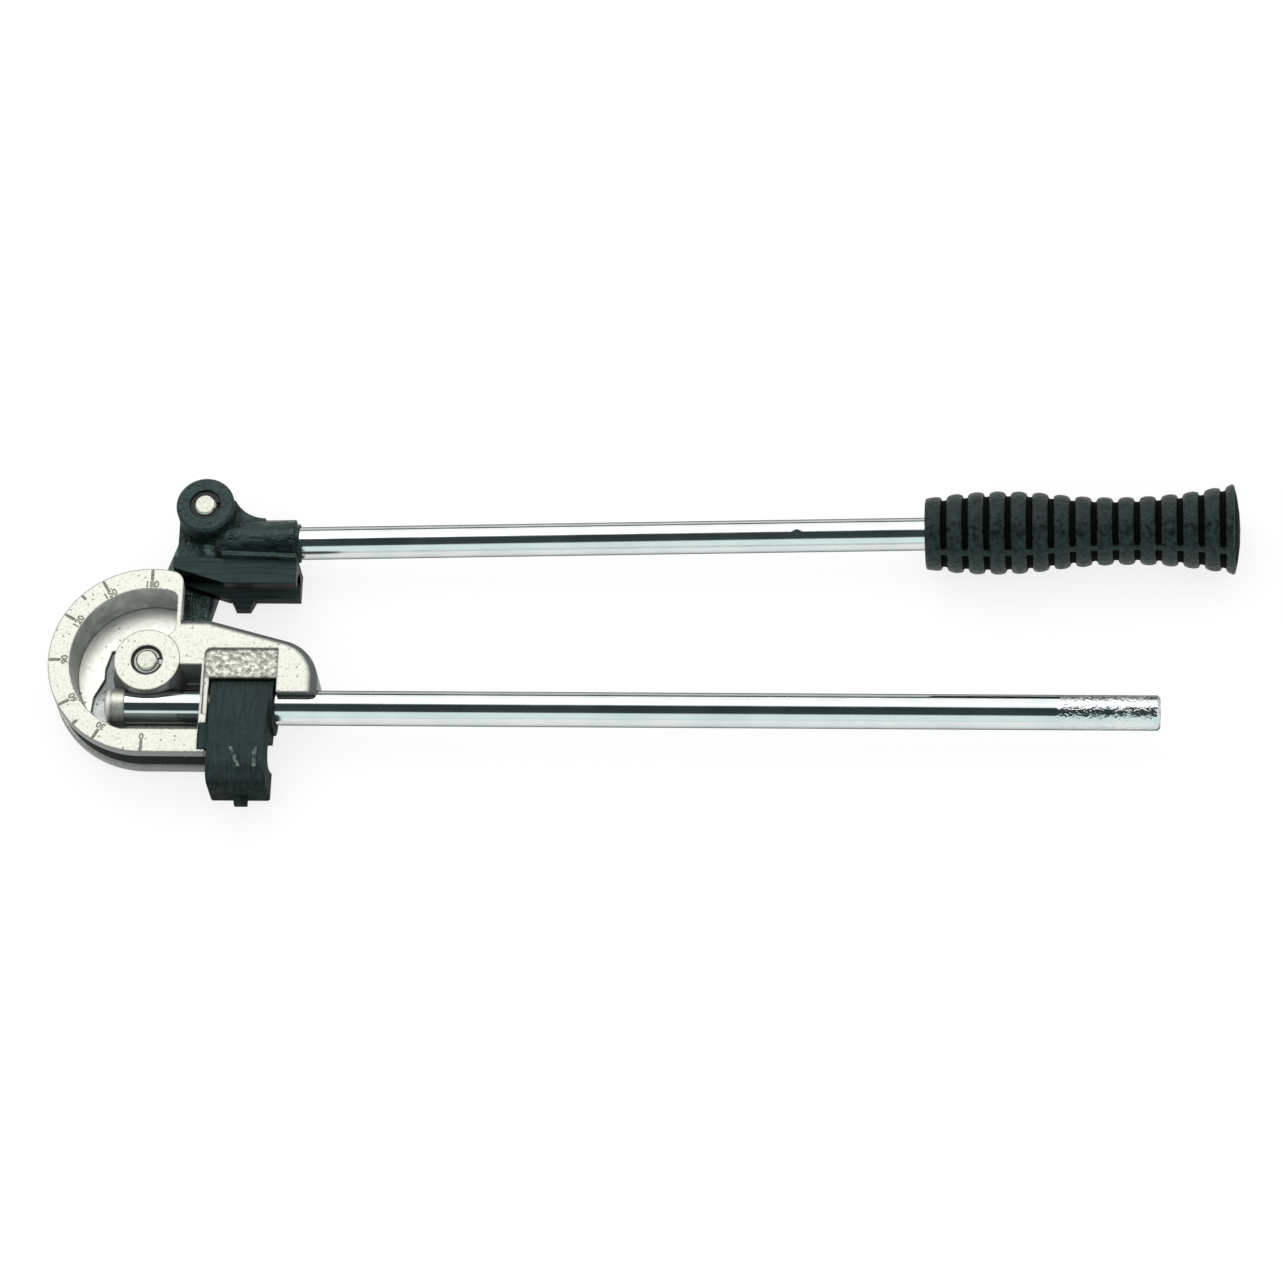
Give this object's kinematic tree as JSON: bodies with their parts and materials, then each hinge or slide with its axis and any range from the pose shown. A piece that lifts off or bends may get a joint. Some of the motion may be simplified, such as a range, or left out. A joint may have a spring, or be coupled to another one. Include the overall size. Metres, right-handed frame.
{
  "type": "pipe bender",
  "caption": "Lever tube bender with a grooved cast former and angle dial, a tube hook, a link and lever with a slide shoe, and a ribbed grip.",
  "frame": {"origin": "on the axis of the former's pivot pin, in the plane that the tool lies on, at the back of the pin's head", "axes": "+X along the handles from the former to their free ends, +Y in the former's plane from the fixed handle to the lever, +Z out of the former's face"},
  "size_m": [0.5406, 0.1557, 0.0412],
  "materials": {
    "cast_alloy": "satin as-cast",
    "chromed_steel": "bright plated",
    "pin_steel": "turned",
    "ring_steel": "blackened spring steel",
    "bush_bronze": "sintered",
    "black_casting": "gloss black",
    "shoe_plastic": "moulded black",
    "black_plastic": "moulded",
    "black_rubber": "satin"
  },
  "bodies": {
    "former": {"bend_former": "cast_alloy", "fixed_handle": "chromed_steel", "handle_pin": "pin_steel", "handle_plug": "black_plastic", "pivot_pin": "pin_steel", "pivot_retaining_ring": "ring_steel", "pivot_washer": "pin_steel"},
    "link": {"link_arm": "black_casting", "link_bush": "bush_bronze", "hinge_pin": "pin_steel", "hinge_retaining_ring": "ring_steel", "hinge_washer": "pin_steel"},
    "lever": {"lever_head": "black_casting", "hinge_bush": "bush_bronze", "lever_tube": "chromed_steel", "lever_tube_pin": "pin_steel", "lever_grip": "black_rubber", "slide_shoe": "shoe_plastic", "shoe_pin": "pin_steel"},
    "hook": {"tube_hook": "black_casting"}
  },
  "joints": [
    {"name": "link_swing", "type": "hinge", "parent": "former", "child": "link", "pos_m": [0, 0, 0.0206], "axis": [0, 0, 1], "range_deg": [0, 180]},
    {"name": "lever_pivot", "type": "hinge", "parent": "link", "child": "lever", "pos_m": [0.0225, 0.0764, 0.0206], "axis": [0, 0, 1], "range_deg": [0, 110]},
    {"name": "hook_swing", "type": "hinge", "parent": "former", "child": "hook", "pos_m": [0.044, -0.0185, 0.0206], "axis": [-1, 0, 0], "range_deg": [0, 60]}
  ]
}
